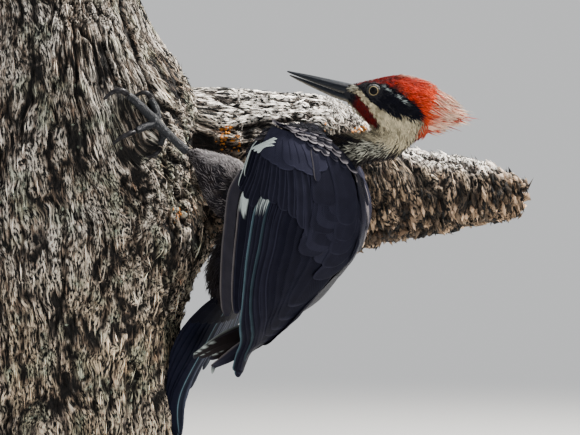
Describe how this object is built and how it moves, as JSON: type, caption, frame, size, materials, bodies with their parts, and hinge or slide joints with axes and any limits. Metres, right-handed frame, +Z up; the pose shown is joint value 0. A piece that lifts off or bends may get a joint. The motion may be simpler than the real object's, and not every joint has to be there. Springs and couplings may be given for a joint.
{
  "type": "pileated woodpecker model on a snag",
  "caption": "Life-size male pileated woodpecker clinging to a cut length of dead trunk with a broken branch, looking back over its shoulder, held up by a round display stand.",
  "frame": {"origin": "centre of the base's underside", "axes": "+Z up along the cut trunk, +X along the broken branch, -Y to the front, where the bird's back shows"},
  "size_m": [0.531, 0.3074, 0.486],
  "materials": {
    "plumage_black": "satin feathers with a blue-black sheen",
    "plumage_red": "soft matt feathers",
    "plumage_cream": "soft matt feathers",
    "bill_horn": "satin horn",
    "eye_gloss": "wet gloss",
    "leg_scale": "dry scaly skin",
    "claw_horn": "satin horn",
    "snag_bark": "weathered, fissured and dry, with lichen",
    "stand_wood": "turned and oiled",
    "stand_steel": "satin"
  },
  "bodies": {
    "root": {"head": "plumage_black", "crest": "plumage_red", "neck": "plumage_cream", "trunk": "plumage_black", "tail": "plumage_black", "wing_left": "plumage_black", "wing_right": "plumage_black", "flight_left": "plumage_black", "flight_right": "plumage_black", "thigh_left": "plumage_black", "thigh_right": "plumage_black", "bill_upper": "bill_horn", "bill_lower": "bill_horn", "eye_left": "eye_gloss", "eye_right": "eye_gloss", "tarsus_left": "leg_scale", "tarsus_right": "leg_scale", "toe_outer_front_left": "leg_scale", "claw_outer_front_left": "claw_horn", "toe_inner_front_left": "leg_scale", "claw_inner_front_left": "claw_horn", "toe_outer_back_left": "leg_scale", "claw_outer_back_left": "claw_horn", "toe_hallux_left": "leg_scale", "claw_hallux_left": "claw_horn", "toe_outer_front_right": "leg_scale", "claw_outer_front_right": "claw_horn", "toe_inner_front_right": "leg_scale", "claw_inner_front_right": "claw_horn", "toe_outer_back_right": "leg_scale", "claw_outer_back_right": "claw_horn", "toe_hallux_right": "leg_scale", "claw_hallux_right": "claw_horn", "perch_snag": "snag_bark", "stand_base": "stand_wood", "stand_rod_1": "stand_steel", "stand_rod_2": "stand_steel"}
  },
  "joints": []
}
